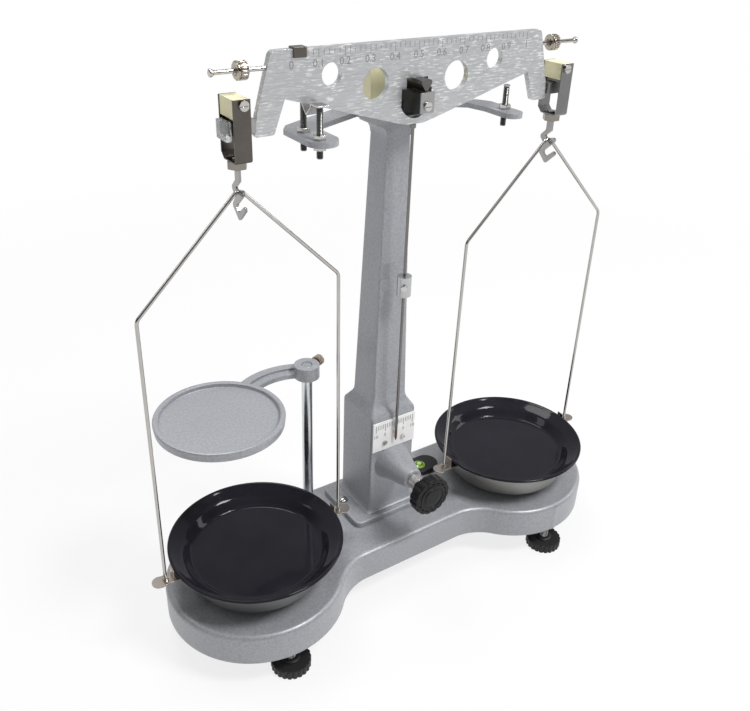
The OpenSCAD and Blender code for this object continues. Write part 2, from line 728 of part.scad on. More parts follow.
module level_housing() color("black") difference() {
  union() {
    block([level_x, level_y - 10, base_top],
      [level_x + 7, level_y + 10, base_top + 4]);
    for (x = [0, 7]) zrod(base_top, base_top + 4, 10, level_x + x, level_y);
  }
  zrod(base_top + 0.8, base_top + 6, 5, level_x, level_y);
}

module level_vial() color("yellowgreen") {
  zrod(base_top + 0.8, base_top + 4, 4.9, level_x, level_y);
  intersection() {
    translate([level_x, level_y, base_top - 3.6]) sphere(9);
    zrod(base_top + 4, base_top + 7, 4.6, level_x, level_y);
  }
}

base_casting();
foot_left();
foot_right();
foot_rear();
column();
crosshead();
flange_screws();
scale_plate();
scale_screws();
shaft_bushing();
arrest_shaft();
arrest_knob();
lift_rod();
lift_head();
bearing_bar();
bearing_agate();
bearing_clip();
clip_screw();
rest_studs();
rest_nuts();
rest_cradle();
rest_button();
beam();
centre_knife();
end_knives();
knife_guard();
adjusting_rods();
balance_nut_left();
balance_nut_right();
rider();
pointer();
pointer_tip();
gravity_weight();
weight_screw();
stirrup_left();
stirrup_right();
stirrup_block_left();
stirrup_block_right();
stirrup_screw_left();
stirrup_screw_right();
swivel_nut_left();
swivel_nut_right();
hook_left();
hook_right();
hanger_left();
hanger_right();
pan_strip_left();
pan_strip_right();
under_dish_left();
under_dish_right();
pan_left();
pan_right();
tray_post();
tray();
tray_screw();
level_housing();
level_vial();
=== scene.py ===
import json
import math
import bmesh
import bpy
from mathutils import Matrix, Vector


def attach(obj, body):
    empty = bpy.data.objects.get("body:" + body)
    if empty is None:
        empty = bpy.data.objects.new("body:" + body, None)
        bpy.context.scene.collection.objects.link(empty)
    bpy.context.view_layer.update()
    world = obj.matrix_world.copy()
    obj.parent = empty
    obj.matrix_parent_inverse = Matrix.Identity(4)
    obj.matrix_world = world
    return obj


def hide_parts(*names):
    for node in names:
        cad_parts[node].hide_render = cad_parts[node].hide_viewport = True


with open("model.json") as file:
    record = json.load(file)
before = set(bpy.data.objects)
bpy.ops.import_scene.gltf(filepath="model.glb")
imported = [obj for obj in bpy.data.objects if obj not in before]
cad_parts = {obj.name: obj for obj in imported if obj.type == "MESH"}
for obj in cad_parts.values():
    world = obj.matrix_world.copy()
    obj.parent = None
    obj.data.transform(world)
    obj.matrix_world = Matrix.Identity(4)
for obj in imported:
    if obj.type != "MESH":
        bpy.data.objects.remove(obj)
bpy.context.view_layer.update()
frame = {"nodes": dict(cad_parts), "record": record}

mm = 0.001
scene = bpy.context.scene
scene.view_settings.view_transform = "Standard"
hangerX = {"left": -115, "right": 115}  # the two end knives, with all that hangs from them


# Camera

cameraLook = {"azimuth": -34.85, "elevation": 29.92, "roll": 2.18,
              "place": (-297.0, -396.1, 467.1), "lens": 39.594, "sensor": 36.0, "nearest": 0.01}


def addCamera(look):
    turn, rise, roll = (math.radians(look[k]) for k in ("azimuth", "elevation", "roll"))
    side = Vector((math.cos(turn), math.sin(turn), 0))
    back = Vector((math.sin(turn) * math.cos(rise), -math.cos(turn) * math.cos(rise), math.sin(rise)))
    up = back.cross(side)
    right = side * math.cos(roll) + up * math.sin(roll)
    top = up * math.cos(roll) - side * math.sin(roll)
    data = bpy.data.cameras.new("photoCamera")
    data.lens = look["lens"]
    data.sensor_width = look["sensor"]
    data.sensor_fit = "HORIZONTAL"
    data.clip_start = look["nearest"]
    camera = bpy.data.objects.new("photoCamera", data)
    scene.collection.objects.link(camera)
    place = Matrix((right, top, back)).transposed().to_4x4()
    place.translation = Vector(look["place"]) * mm
    camera.matrix_world = place
    scene.camera = camera


addCamera(cameraLook)


# Lamps, in metres and watts, all aimed at the lower column

lampAim = (0, 0, 0.2)
lamps = {
    "frontLamp": {"place": (0.45, -0.75, 1.5), "size": 0.42, "power": 18.5},
    "leftLamp": {"place": (-1.05, 0.55, 1.15), "size": 0.35, "power": 1.2},
    "rightLamp": {"place": (1.3, -0.35, 0.8), "size": 0.5, "power": 3.5},
    "backLamp": {"place": (-0.1, 0.5, 1.6), "size": 0.6, "power": 9.0},
}


def addLamp(name, look):
    data = bpy.data.lights.new(name, "AREA")
    data.size = look["size"]
    data.energy = look["power"]
    lamp = bpy.data.objects.new(name, data)
    lamp.location = look["place"]
    toAim = Vector(lampAim) - Vector(look["place"])
    lamp.rotation_euler = toAim.to_track_quat("-Z", "Y").to_euler()
    scene.collection.objects.link(lamp)


for lampName, lampLook in lamps.items():
    addLamp(lampName, lampLook)
print("camera and lamps are in place")


# A socket that takes part in sums, so a pattern reads as an expression
class Wire:
    def __init__(self, finish, socket):
        self.finish = finish
        self.socket = socket

    def pair(self, operation, first, second):
        return self.finish.node("ShaderNodeMath", {"operation": operation}, {0: first, 1: second})

    def __add__(self, other):
        return self.pair("ADD", self, other)

    def __radd__(self, other):
        return self.pair("ADD", other, self)

    def __sub__(self, other):
        return self.pair("SUBTRACT", self, other)

    def __rsub__(self, other):
        return self.pair("SUBTRACT", other, self)

    def __mul__(self, other):
        return self.pair("MULTIPLY", self, other)

    def __rmul__(self, other):
        return self.pair("MULTIPLY", other, self)

    def orMore(self, other):
        return self.pair("MAXIMUM", self, other)


# The node tree of one material, or of the world
class Finish:
    def __init__(self, name, tree=None):
        if tree is None:
            self.material = bpy.data.materials.new(name)
            self.material.use_nodes = True
            tree = self.material.node_tree
        self.tree = tree
        self.tree.nodes.clear()

    # Settings first, then the values or links of the sockets
    def node(self, kind, settings=None, values=None, out=0):
        made = self.tree.nodes.new(kind)
        for key, value in (settings or {}).items():
            if key == "stops":
                while len(made.color_ramp.elements) < len(value):
                    made.color_ramp.elements.new(0.5)
                for element, (position, tone) in zip(made.color_ramp.elements, value):
                    element.position = position
                    element.color = (tone, tone, tone, 1)
            else:
                setattr(made, key, value)
        for key, value in (values or {}).items():
            if isinstance(value, Wire):
                self.tree.links.new(value.socket, made.inputs[key])
            else:
                made.inputs[key].default_value = value
        return Wire(self, made.outputs[out]) if made.outputs else None

    # Object coordinates, stretched about a point given in metres
    def place(self, scale=(1, 1, 1), middle=(0, 0, 0)):
        coordinates = self.node("ShaderNodeTexCoord", out="Object")
        return self.node("ShaderNodeMapping", {"vector_type": "POINT"},
                         {"Vector": coordinates, "Scale": scale,
                          "Location": [-m * s for m, s in zip(middle, scale)]})

    def noise(self, size, detail=2, rough=0.5, stretch=(1, 1, 1)):
        return self.node("ShaderNodeTexNoise", {}, {
            "Vector": self.place(stretch), "Scale": 1 / (size * mm), "Detail": detail, "Roughness": rough})

    # Distance in plan from a point given in millimetres
    def reach(self, middle):
        spot = self.place((1, 1, 0), (middle[0] * mm, middle[1] * mm, 0))
        return self.node("ShaderNodeVectorMath", {"operation": "LENGTH"}, {0: spot}, out="Value")

    def along(self, heading, direction):
        return self.node("ShaderNodeVectorMath", {"operation": "DOT_PRODUCT"},
                         {0: heading, 1: direction}, out="Value")

    def ramp(self, value, *stops):
        return self.node("ShaderNodeValToRGB", {"stops": stops}, {"Fac": value})

    def blend(self, amount, first, second):
        return self.node("ShaderNodeMix", {"data_type": "RGBA"}, {
            0: amount, 6: shade(first), 7: shade(second)}, out=2)

    def bump(self, height, depth, strength=1.0):
        return self.node("ShaderNodeBump", {}, {
            "Height": height, "Distance": depth * mm, "Strength": strength})

    # Convex edges, 0 inside a face and 1 on an edge, lightened by the finishes as wear and as a painted edge
    # highlight
    def edges(self, low=0.51, high=0.58):
        pointed = self.node("ShaderNodeNewGeometry", out="Pointiness")
        return self.ramp(pointed, (low, 0), (high, 1))

    def surface(self, values):
        wire = self.node("ShaderNodeBsdfPrincipled", {}, {
            key: shade(value) if key == "Base Color" else value for key, value in values.items()})
        self.node("ShaderNodeOutputMaterial", {}, {"Surface": wire})
        return self.material


def shade(value):
    if isinstance(value, Wire) or len(value) == 4:
        return value
    return (*value, 1)


def scaled(colour, factor):
    return [min(1.0, c * factor) for c in colour]


hammerLook = {"colour": (0.34, 0.35, 0.375), "dark": (0.25, 0.26, 0.275), "light": (0.47, 0.48, 0.51),
              "dimple": 1.5, "speckle": 0.42, "cloud": 45, "depth": 0.05, "roughness": 0.40,
              "metallic": 0.22, "coat": 0.1, "coatRoughness": 0.28}


# Grey hammered paint of the castings
def hammerPaint(name="hammerPaint", look=hammerLook):
    f = Finish(name)
    dimples = f.noise(look["dimple"], 3, 0.55)
    speckle = f.noise(look["speckle"], 2, 0.6)
    cloud = f.noise(look["cloud"], 2, 0.5)
    tone = f.blend(f.ramp(dimples, (0.35, 0), (0.65, 1)), look["dark"], look["light"])
    tone = f.blend(0.6, tone, look["colour"])
    tone = f.blend(f.ramp(speckle, (0.55, 0), (0.70, 1)) * 0.42, tone, look["light"])
    tone = f.blend(f.ramp(cloud, (0.4, 0), (0.7, 1)) * 0.15, tone, look["dark"])
    height = dimples * 0.8 + speckle * 0.2
    return f.surface({"Base Color": tone, "Metallic": look["metallic"],
                      "Roughness": look["roughness"] + (speckle - 0.5) * 0.2,
                      "Coat Weight": look["coat"], "Coat Roughness": look["coatRoughness"],
                      "Normal": f.bump(height, look["depth"], 0.6)})


beamLook = {"colour": (0.60, 0.61, 0.62), "dark": (0.45, 0.46, 0.475), "glint": (0.95, 0.95, 0.95),
            "metallic": 0.8, "roughness": 0.36, "streak": 1.3, "streakStretch": (0.16, 1.0, 1.9),
            "dash": 2.1, "dashStretch": (0.34, 1.0, 2.3), "patch": 16, "grain": 0.5, "depth": 0.02}


# Hand-rubbed aluminium: level streaks, with short bright dashes in patches; the dashes are rubbed marks in
# the roughness and bump, and painted glints in the colour
def brushedPlate(name="brushedPlate", look=beamLook):
    f = Finish(name)
    streaks = f.noise(look["streak"], 3, 0.65, look["streakStretch"])
    patches = f.ramp(f.noise(look["patch"], 2, 0.5), (0.41, 0), (0.58, 1))
    glintDashes = f.ramp(f.noise(look["dash"], 2, 0.55, look["dashStretch"]), (0.535, 0), (0.625, 1))
    glintDashes = glintDashes * (0.3 + patches * 0.7)
    fine = f.noise(look["grain"], 2, 0.6)
    tone = f.blend(f.ramp(streaks, (0.3, 0), (0.7, 1)), look["dark"], look["colour"])
    # painted glints: the bright dashes lighten the base colour
    tone = f.blend(glintDashes * 0.85, tone, look["glint"])
    rough = look["roughness"] + (streaks - 0.5) * 0.25 + glintDashes * 0.12 + (fine - 0.5) * 0.1
    return f.surface({"Base Color": tone, "Metallic": look["metallic"], "Roughness": rough,
                      "Normal": f.bump(streaks + glintDashes * 1.5, look["depth"], 0.5)})


metalLook = {"grain": 0.35, "cloud": 9, "shaded": 0.7, "edgeWearAndSheen": 1.25, "depth": 0.002}


# Plated or bare metal, clouded a little and brighter on its edges, as wear and as a painted edge highlight
def bareMetal(name, colour, roughness, tint=0.12, look=metalLook):
    f = Finish(name)
    fine = f.noise(look["grain"], 2, 0.6)
    cloud = f.noise(look["cloud"], 3, 0.55)
    tone = f.blend(f.ramp(cloud, (0.35, 0), (0.75, 1)) * tint * 4, colour, scaled(colour, look["shaded"]))
    # lighter convex edges: wear and a painted edge highlight
    tone = f.blend(f.edges() * 0.3, tone, scaled(colour, look["edgeWearAndSheen"]))
    return f.surface({"Base Color": tone, "Metallic": 1.0,
                      "Roughness": roughness + (cloud - 0.5) * 0.14 + (fine - 0.5) * 0.1,
                      "Normal": f.bump(fine, look["depth"], 0.12)})


spunLook = {"roughness": 0.42, "pitch": 0.55, "cloud": 14, "groove": 0.78, "shaded": 0.7,
            "metallic": 0.9, "depth": 0.02}


# Metal turned on a lathe, with fine rings about its own axis
def spunMetal(name, colour, middle, look=spunLook):
    f = Finish(name)
    turns = f.reach(middle) * (math.tau / (look["pitch"] * mm))
    rings = f.node("ShaderNodeMath", {"operation": "SINE"}, {0: turns})
    cloud = f.noise(look["cloud"], 3)
    tone = f.blend(rings * 0.25 + 0.35, scaled(colour, look["groove"]), colour)
    tone = f.blend(f.ramp(cloud, (0.4, 0), (0.8, 1)) * 0.25, tone, scaled(colour, look["shaded"]))
    return f.surface({"Base Color": tone, "Metallic": look["metallic"],
                      "Roughness": look["roughness"] + rings * 0.04 + (cloud - 0.5) * 0.12,
                      "Normal": f.bump(rings, look["depth"], 0.2)})


mouldLook = {"cloud": 7, "lift": 1.25, "haze": 0.008, "coatRoughness": 0.08}


# Plastic, nylon, ink and flat paint, with lighter edges that are wear and a painted edge highlight
def moulded(name, colour, roughness, grain=0.4, depth=0.02, coat=0.0, gloss=0.5, look=mouldLook):
    f = Finish(name)
    fine = f.noise(grain, 2, 0.6)
    cloud = f.noise(look["cloud"], 3, 0.5)
    lighter = [min(1.0, c * look["lift"] + look["haze"]) for c in colour]
    tone = f.blend(f.ramp(cloud, (0.3, 0), (0.75, 1)) * 0.5, colour, lighter)
    # lighter convex edges: wear and a painted edge highlight
    tone = f.blend(f.edges() * 0.4, tone, lighter)
    return f.surface({"Base Color": tone, "Metallic": 0.0, "Specular IOR Level": gloss,
                      "Roughness": roughness + (cloud - 0.5) * 0.15 + (fine - 0.5) * 0.12,
                      "Coat Weight": coat, "Coat Roughness": look["coatRoughness"],
                      "Normal": f.bump(fine, depth, 0.5)})


enamelLook = {"colour": (0.0125, 0.012, 0.017), "light": (0.017, 0.016, 0.022), "speck": (0.20, 0.20, 0.22),
              "peel": 2.4, "cloud": 26, "dust": 0.3, "roughness": 0.07, "gloss": 0.16, "depth": 0.02}


# Glossy black enamel of the pans, with a little dust
def blackEnamel(name="blackEnamel", look=enamelLook):
    f = Finish(name)
    peel = f.noise(look["peel"], 2, 0.5)
    cloud = f.noise(look["cloud"], 3, 0.6)
    dust = f.ramp(f.noise(look["dust"], 1, 0.4), (0.71, 0), (0.74, 1))
    tone = f.blend(f.ramp(cloud, (0.3, 0), (0.8, 1)), look["colour"], look["light"])
    tone = f.blend(dust * 0.12, tone, look["speck"])
    return f.surface({"Base Color": tone, "Metallic": 0.0, "Specular IOR Level": look["gloss"],
                      "Roughness": look["roughness"] + (cloud - 0.5) * 0.08 + dust * 0.2,
                      "Normal": f.bump(peel, look["depth"], 0.12)})


clearLook = {"colour": (0.93, 0.94, 0.95), "smeared": (0.70, 0.72, 0.74), "smear": 3, "bending": 1.45,
             "through": 0.75, "depth": 0.06}


def clearPlastic(name="clearPlastic", look=clearLook):
    f = Finish(name)
    smear = f.noise(look["smear"], 3, 0.6)
    return f.surface({"Base Color": f.blend(smear * 0.5, look["colour"], look["smeared"]),
                      "Roughness": 0.10 + smear * 0.2, "IOR": look["bending"],
                      "Transmission Weight": look["through"],
                      "Normal": f.bump(smear, look["depth"], 0.4)})


vialLook = {"middle": (50, 32.2), "radius": 5, "edge": (0.30, 0.50, 0.05), "deep": (0.05, 0.13, 0.01),
            "bubble": (0.42, 0.62, 0.12), "ring": (0.01, 0.03, 0.0), "smear": 3}


# Green liquid with the ring mark and a pale bubble in the middle
def vialLiquid(name="vialLiquid", look=vialLook):
    f = Finish(name)
    reach = f.reach(look["middle"]) * (1 / (look["radius"] * mm))
    smear = f.noise(look["smear"], 2)
    tone = f.blend(f.ramp(reach, (0.55, 0), (0.86, 1)), look["deep"], look["edge"])
    tone = f.blend(f.ramp(reach, (0.30, 1), (0.42, 0)), tone, look["bubble"])
    mark = f.ramp(reach, (0.46, 0), (0.49, 1)) * f.ramp(reach, (0.52, 1), (0.55, 0))
    tone = f.blend(mark, tone, look["ring"])
    return f.surface({"Base Color": f.blend(smear * 0.25, tone, look["edge"]),
                      "Roughness": 0.08 + smear * 0.06, "Coat Weight": 0.6, "Coat Roughness": 0.03})


agateLook = {"dark": (0.035, 0.032, 0.032), "light": (0.11, 0.10, 0.10), "stretch": (1, 1.6, 3),
             "bands": 240, "bend": 6}


def agateStone(name="agateStone", look=agateLook):
    f = Finish(name)
    bands = f.node("ShaderNodeTexWave", {}, {
        "Vector": f.place(look["stretch"]), "Scale": look["bands"], "Distortion": look["bend"], "Detail": 3})
    return f.surface({"Base Color": f.blend(bands, look["dark"], look["light"]),
                      "Roughness": 0.15 + bands * 0.06, "Coat Weight": 0.3})


turnedLook = {**spunLook, "roughness": 0.32, "pitch": 0.6}
finishes = {
    "hammer": hammerPaint(),
    "plate": brushedPlate(),
    "steel": bareMetal("brightSteel", (0.58, 0.57, 0.555), 0.22),
    "clip": bareMetal("greyClip", (0.36, 0.36, 0.355), 0.3),
    "rod": bareMetal("darkRod", (0.20, 0.19, 0.185), 0.25, tint=0.05),
    "nickel": bareMetal("nickelPlate", (0.50, 0.485, 0.465), 0.16, tint=0.06),
    "lug": bareMetal("beigeLug", (0.40, 0.355, 0.32), 0.34, tint=0.08),
    "nut": bareMetal("knurledNut", (0.40, 0.36, 0.31), 0.2, tint=0.06),
    "hook": bareMetal("greyHook", (0.33, 0.325, 0.32), 0.24, tint=0.1),
    "chrome": bareMetal("chromePost", (0.62, 0.64, 0.66), 0.2, tint=0.1),
    "strap": bareMetal("brownStrap", (0.125, 0.113, 0.10), 0.3, tint=0.1),
    "strapGrey": bareMetal("greyStrap", (0.205, 0.205, 0.205), 0.26, tint=0.1),
    "hexNut": bareMetal("hexNut", (0.26, 0.24, 0.21), 0.2, tint=0.1),
    "dark": bareMetal("darkSteel", (0.16, 0.155, 0.15), 0.36, tint=0.1),
    "blackened": bareMetal("blackenedStud", (0.19, 0.19, 0.19), 0.24),
    "turned": spunMetal("turnedWeight", (0.60, 0.61, 0.62), (0, 0), turnedLook),
    # the two under-dishes are one silver metal; the left copy is darker, which is painted shade
    "dishLeftShaded": spunMetal("spunDishLeftShaded", (0.36, 0.36, 0.36), (hangerX["left"], 0)),
    "dishRight": spunMetal("spunDishRight", (0.52, 0.51, 0.48), (hangerX["right"], 0)),
    "brass": bareMetal("yellowScrew", (0.50, 0.42, 0.33), 0.3),
    "nylon": moulded("creamNylon", (0.80, 0.75, 0.49), 0.5, 0.5, 0.01),
    "knob": moulded("blackKnob", (0.006, 0.006, 0.007), 0.3, 0.5, 0.02, gloss=0.2),
    "housing": moulded("blackHousing", (0.012, 0.012, 0.014), 0.4, 0.5, 0.01, gloss=0.3),
    "bar": moulded("blackBar", (0.012, 0.012, 0.013), 0.38, 0.5, 0.02, gloss=0.35),
    "foot": moulded("blackFoot", (0.012, 0.012, 0.013), 0.5, 0.5, 0.03, gloss=0.35),
    "white": moulded("whitePlate", (0.80, 0.80, 0.79), 0.42, 0.6, 0.005),
    "ink": moulded("greyInk", (0.10, 0.10, 0.11), 0.6, 0.3, 0.004),
    "engraved": moulded("engravedInk", (0.21, 0.21, 0.21), 0.6, 0.3, 0.004),
    "red": moulded("redTip", (0.11, 0.025, 0.022), 0.4, 0.4, 0.005, coat=0.3),
    "black": blackEnamel(),
    "clear": clearPlastic(),
    "vial": vialLiquid(),
    "agate": agateStone(),
}

nodeFinish = {
    "hammer": ["base_casting", "column", "crosshead", "tray"],
    "plate": ["beam"],
    "steel": ["flange_screws", "scale_screws", "shaft_bushing", "lift_rod", "clip_screw",
              "rest_cradle", "rest_button", "weight_screw"],
    "clip": ["bearing_clip", "end_knives"],
    "rod": ["pointer"],
    "lug": ["pan_strip_left", "pan_strip_right"],
    "hook": ["hook_left", "hook_right"],
    "nickel": ["adjusting_rods", "hanger_left", "hanger_right", "rest_nuts",
               "stirrup_screw_left", "stirrup_screw_right"],
    "nut": ["balance_nut_left", "balance_nut_right"],
    "chrome": ["tray_post"],
    "strap": ["stirrup_left", "rider"],
    "strapGrey": ["stirrup_right"],
    "hexNut": ["swivel_nut_left", "swivel_nut_right"],
    "dark": ["centre_knife"],
    "blackened": ["rest_studs", "arrest_shaft"],
    "turned": ["gravity_weight"],
    "dishLeftShaded": ["under_dish_left"],
    "dishRight": ["under_dish_right"],
    "brass": ["tray_screw"],
    "nylon": ["lift_head", "stirrup_block_left", "stirrup_block_right"],
    "knob": ["arrest_knob"],
    "housing": ["level_housing"],
    "bar": ["bearing_bar"],
    "foot": ["foot_left", "foot_right", "foot_rear"],
    "white": ["scale_plate"],
    "red": ["pointer_tip"],
    "black": ["pan_left", "pan_right"],
    "clear": ["knife_guard"],
    "vial": ["level_vial"],
    "agate": ["bearing_agate"],
}
finishOf = {nodeName: finishName for finishName, nodeNames in nodeFinish.items() for nodeName in nodeNames}


def giveFinish(thing, finish):
    thing.data.materials.clear()
    thing.data.materials.append(finishes[finish])


for nodeName, finishName in finishOf.items():
    giveFinish(frame["nodes"][nodeName], finishName)
print("finishes are on the packed nodes")


bodyOf = {n: body for body, names in frame["record"]["behaviour"]["bodies"].items() for n in names}


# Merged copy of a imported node, its flat faces joined again
def copyOfNode(nodeName):
    shape = bmesh.new()
    shape.from_mesh(frame["nodes"][nodeName].data)
    bmesh.ops.remove_doubles(shape, verts=shape.verts, dist=0.002 * mm)
    bmesh.ops.dissolve_limit(shape, angle_limit=math.radians(0.6), verts=shape.verts, edges=shape.edges,
                             use_dissolve_boundaries=False, delimit=set())
    return shape


def roundEdges(shape, width, segments=2, angle=32, only=None):
    sharp = [e for e in shape.edges if e.is_manifold and e.calc_face_angle(0) > math.radians(angle)
             and (only is None or only(e))]
    if sharp:
        bmesh.ops.bevel(shape, geom=sharp, offset=width * mm, offset_type="OFFSET", segments=segments,
                        profile=0.5, affect="EDGES", clamp_overlap=True, material=-1)


# Makes the object of a shape, on the body of the node that it belongs to, and hides the nodes that it
# replaces
def addPiece(name, shape, nodeName, finish=None, replaced=(), smooth=38, weighted=True):
    data = bpy.data.meshes.new(name)
    shape.normal_update()
    shape.to_mesh(data)
    shape.free()
    data.shade_smooth()
    data.set_sharp_from_angle(angle=math.radians(smooth))
    piece = bpy.data.objects.new(name, data)
    scene.collection.objects.link(piece)
    data.materials.append(finishes[finish or finishOf[nodeName]])
    if weighted:
        fair = piece.modifiers.new("fairNormals", "WEIGHTED_NORMAL")
        fair.keep_sharp = True
    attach(piece, bodyOf[nodeName])
    if replaced:
        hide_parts(*replaced)


# Turns a shape that points up to point along an axis, then moves it, in mm
def moveShape(shape, place, axis="Z"):
    quarter = math.radians(90)
    turns = {"Z": Matrix.Identity(4), "X": Matrix.Rotation(quarter, 4, "Y"),
             "-X": Matrix.Rotation(-quarter, 4, "Y"), "-Y": Matrix.Rotation(quarter, 4, "X"),
             "Y": Matrix.Rotation(-quarter, 4, "X")}
    turned = Matrix.Translation(Vector(place) * mm) @ turns[axis]
    bmesh.ops.transform(shape, matrix=turned, verts=shape.verts)


# Profile of (radius, height) points turned round an axis
def spun(profile, place=(0, 0, 0), axis="Z", steps=64, closed=True):
    shape = bmesh.new()
    points = [shape.verts.new((r * mm, 0, z * mm)) for r, z in profile]
    for first, second in zip(points, points[1:] + ([points[0]] if closed else [])):
        shape.edges.new((first, second))
    bmesh.ops.spin(shape, geom=shape.verts[:] + shape.edges[:], cent=(0, 0, 0), axis=(0, 0, 1),
                   angle=math.tau, steps=steps, use_merge=True, use_duplicate=False)
    bmesh.ops.remove_doubles(shape, verts=shape.verts, dist=0.001 * mm)
    bmesh.ops.recalc_face_normals(shape, faces=shape.faces)
    moveShape(shape, place, axis)
    return shape


# Extrudes faces upward, the first ones staying below, and gives back the new points and faces
def lift(shape, faces, height):
    made = bmesh.ops.extrude_face_region(shape, geom=faces)["geom"]
    points = [v for v in made if isinstance(v, bmesh.types.BMVert)]
    bmesh.ops.translate(shape, vec=(0, 0, height * mm), verts=points)
    return points, [f for f in made if isinstance(f, bmesh.types.BMFace)]


# Upright prism on the ground, from a flat outline
def prism(outline, height):
    shape = bmesh.new()
    face = shape.faces.new([shape.verts.new((x * mm, y * mm, 0)) for x, y in outline])
    lift(shape, [face], height)
    bmesh.ops.recalc_face_normals(shape, faces=shape.faces)
    return shape


# Flat rectangle with round corners
def roundedSheet(half, corner):
    shape = bmesh.new()
    bmesh.ops.create_grid(shape, x_segments=1, y_segments=1, size=1)
    bmesh.ops.scale(shape, vec=(half[0] * mm, half[1] * mm, 1), verts=shape.verts)
    bmesh.ops.bevel(shape, geom=shape.verts[:], offset=corner * mm, segments=6, profile=0.5,
                    affect="VERTICES", material=-1, clamp_overlap=True)
    return shape


def box(low, high):
    shape = bmesh.new()
    size = [(b - a) * mm for a, b in zip(low, high)]
    bmesh.ops.create_cube(shape, size=1)
    bmesh.ops.scale(shape, vec=size, verts=shape.verts)
    bmesh.ops.translate(shape, vec=[(a + b) / 2 * mm for a, b in zip(low, high)], verts=shape.verts)
    return shape


def addTo(shape, other):
    data = bpy.data.meshes.new("part")
    other.to_mesh(data)
    other.free()
    shape.from_mesh(data)
    bpy.data.meshes.remove(data)


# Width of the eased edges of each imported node, in mm
easedEdges = {
    "base_casting": 0.7, "crosshead": 0.8, "beam": 0.5, "tray": 0.5, "lift_head": 0.7, "bearing_bar": 0.4,
    "bearing_clip": 0.3, "rest_cradle": 0.15, "rest_nuts": 0.35, "centre_knife": 0.1, "end_knives": 0.2,
    "knife_guard": 0.9, "rider": 0.35, "stirrup_left": 0.2, "stirrup_right": 0.2,
    "stirrup_block_left": 0.4, "stirrup_block_right": 0.4, "stirrup_screw_left": 0.3,
    "stirrup_screw_right": 0.3, "swivel_nut_left": 0.5, "swivel_nut_right": 0.5, "hook_left": 0.25,
    "hook_right": 0.25, "pan_strip_left": 0.22, "pan_strip_right": 0.22, "balance_nut_left": 0.2,
    "balance_nut_right": 0.2, "gravity_weight": 0.5, "weight_screw": 0.3, "tray_screw": 0.3,
    "level_housing": 0.8, "scale_plate": 0.15, "clip_screw": 0.3, "scale_screws": 0.2,
    "shaft_bushing": 0.6, "flange_screws": 0.25,
}
for nodeName, width in easedEdges.items():
    eased = copyOfNode(nodeName)
    roundEdges(eased, width)
    addPiece(nodeName + "_eased", eased, nodeName, replaced=(nodeName,))
print("edges are eased on", len(easedEdges), "nodes")


# Levels are (half width, half depth, height)
columnLook = {"middle": (0, 23), "corner": 2.4, "levels": [
    (21.6, 22.4, 47.6), (21.6, 22.4, 49.2), (20.6, 21.4, 49.9), (19.8, 20.6, 51.0), (19.3, 20.1, 52.6),
    (19.05, 19.85, 54.8), (19, 19.8, 58), (19, 19.8, 131.6), (18.7, 19.4, 133.6), (16.6, 16.6, 137.2),
    (14.9, 14.4, 140.2), (14.2, 13.6, 142.4), (13.9, 13.4, 146), (8.8, 9.5, 331.5)]}


# Rounded rectangle drawn upward through its levels, with no sheet left inside
def addColumn(look):
    x, y, z = look["levels"][0]
    shape = roundedSheet((x, y), look["corner"])
    moveShape(shape, (*look["middle"], z))
    toAxis = Matrix.Translation((-look["middle"][0] * mm, -look["middle"][1] * mm, 0))
    bottom = top = shape.faces[:]
    for nextX, nextY, nextZ in look["levels"][1:]:
        points, lifted = lift(shape, top, nextZ - z)
        bmesh.ops.scale(shape, vec=(nextX / x, nextY / y, 1), space=toAxis, verts=points)
        if top != bottom:
            bmesh.ops.delete(shape, geom=top, context="FACES_ONLY")
        top = lifted
        x, y, z = nextX, nextY, nextZ
    bmesh.ops.recalc_face_normals(shape, faces=shape.faces)
    addPiece("columnBody", shape, "column", replaced=("column",), smooth=50)


addColumn(columnLook)

flangeLook = {"half": (34, 26), "middle": (0, 22), "corner": 5, "low": 44, "high": 48.5, "edge": 1.3}


def addFlange(look):
    shape = roundedSheet(look["half"], look["corner"])
    lift(shape, shape.faces[:], look["high"] - look["low"])
    bmesh.ops.recalc_face_normals(shape, faces=shape.faces)
    moveShape(shape, (*look["middle"], look["low"]))
    nearTop = (look["high"] - 0.01) * mm
    roundEdges(shape, look["edge"], 3, 50, lambda e: min(v.co.z for v in e.verts) > nearTop)
    addPiece("columnFlange", shape, "column")


addFlange(flangeLook)

# The cone round the arrest shaft, cut flat under the scale plate
shaftHeight = 91
fairingLook = {"front": -24, "flatTop": 104.3, "flatBack": 4.6, "profile": [
    (5.05, 1.5), (5.05, 0.3), (5.5, 0), (6.9, 0), (7.5, 0.4), (7.8, 1.2), (8.3, 3.6), (9.2, 7), (10.6, 13),
    (12.2, 19), (13.6, 23.4), (14.7, 26), (15.9, 27.9), (16.2, 29), (5.05, 29)]}


def addFairing(look):
    shape = spun(look["profile"], (0, look["front"], shaftHeight), "Y", steps=72)
    for point in shape.verts:
        if point.co.z > look["flatTop"] * mm and point.co.y < look["flatBack"] * mm:
            point.co.z = look["flatTop"] * mm
    bmesh.ops.recalc_face_normals(shape, faces=shape.faces)
    addPiece("shaftFairing", shape, "column", smooth=45)


addFairing(fairingLook)
print("column is built")


# Down the outside from the middle of the bottom, over the rim and back along the inside
panLook = {"rim": 72.9, "profile": [
    (0, -12.7), (44.2, -12.7), (45.4, -12.2), (46.4, -11.1), (49.3, -7.3), (50.6, -6.2), (52.2, -5.6),
    (57.9, -2.7), (58.6, -2.3), (59.4, -2.1), (59.95, -1.5), (59.95, -0.7), (59.4, -0.1), (58.7, 0),
    (58, -0.25), (57.2, -0.95), (55.6, -2.0), (52.9, -3.6), (51.1, -4.6), (49.4, -6.0), (46.9, -9.2),
    (45.3, -11.0), (44.3, -11.55), (43.2, -11.7), (0, -11.7)]}


